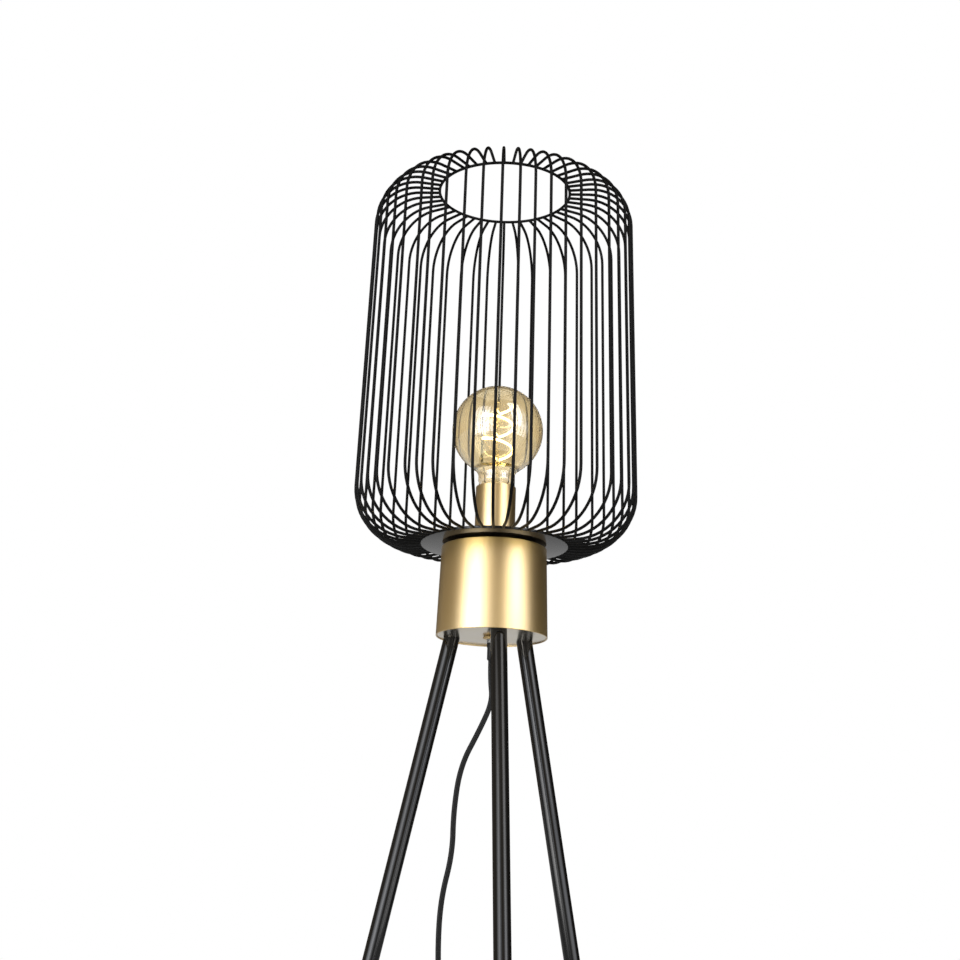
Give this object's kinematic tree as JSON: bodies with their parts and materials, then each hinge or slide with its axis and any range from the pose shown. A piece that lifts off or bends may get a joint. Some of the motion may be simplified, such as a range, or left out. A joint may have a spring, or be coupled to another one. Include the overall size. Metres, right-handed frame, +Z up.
{
  "type": "floor lamp",
  "caption": "Tripod floor lamp with an open wire-cage shade on a brass drum, a globe filament bulb, splayed black tube legs and a flat cord with a foot switch.",
  "frame": {"origin": "on the floor, where the lamp's upright axis meets it between the three feet", "axes": "+Z up along the lamp's axis, -Y towards the front leg, +X to the right seen from the front"},
  "size_m": [0.4956, 0.4526, 1.4999],
  "materials": {
    "black_paint": "satin black powder coat",
    "brass_satin": "satin pale gold",
    "brass_polished": "polished champagne gold",
    "steel": "plain zinc-plated steel",
    "nickel": "nickel-plated",
    "black_plastic": "matte black moulding",
    "cord_black": "matte black cord sheath",
    "foot_rubber": "matte black rubber",
    "tie_fabric": "black hook-and-loop tape",
    "amber_glass": "clear glass with an amber tint",
    "clear_glass": "clear glass",
    "filament": "yellow phosphor ribbon, lit",
    "insulator": "black glass"
  },
  "bodies": {
    "lamp": {"shade_top_ring": "black_paint", "shade_wires": "black_paint", "shade_plate": "black_paint", "leg_front": "black_paint", "leg_left": "black_paint", "leg_right": "black_paint", "drum_shell": "brass_satin", "holder_sleeve": "brass_satin", "tie_nuts": "brass_satin", "drum_base_plate": "brass_polished", "tie_tube": "steel", "leg_studs": "steel", "leg_bushes": "steel", "holder_contact": "steel", "holder_thread_shell": "nickel", "plug_pins": "nickel", "holder_body": "black_plastic", "cord_grip": "black_plastic", "switch_base": "black_plastic", "switch_cover": "black_plastic", "switch_reliefs": "black_plastic", "plug_body": "black_plastic", "cord_drop": "cord_black", "cord_link": "cord_black", "cord_coil": "cord_black", "cord_inner": "cord_black", "coil_tie": "tie_fabric", "foot_caps": "foot_rubber"},
    "bulb_tip": {"bulb_contact_tip": "nickel"},
    "bulb": {"bulb_glass": "amber_glass", "bulb_cap": "nickel", "bulb_insulator": "insulator", "bulb_stem": "clear_glass", "bulb_filament": "filament", "filament_supports": "nickel"},
    "switch_button": {"switch_button": "black_plastic"}
  },
  "joints": [
    {"name": "bulb_lift", "type": "slide", "parent": "lamp", "child": "bulb_tip", "axis": [0, 0, 1], "range_m": [0, 0.01089]},
    {"name": "bulb_turn", "type": "hinge", "parent": "bulb_tip", "child": "bulb", "pos_m": [0, 0, 1.2], "axis": [0, 0, 1], "range_deg": [0, 1080]},
    {"name": "switch_press", "type": "slide", "parent": "lamp", "child": "switch_button", "axis": [0, 0, -1], "range_m": [0, 0.003], "stiffness_N_per_m": 400}
  ],
  "couplings": [
    {"joint": "bulb_lift", "follows": "bulb_turn", "m_per_rad": 0.00057773}
  ]
}
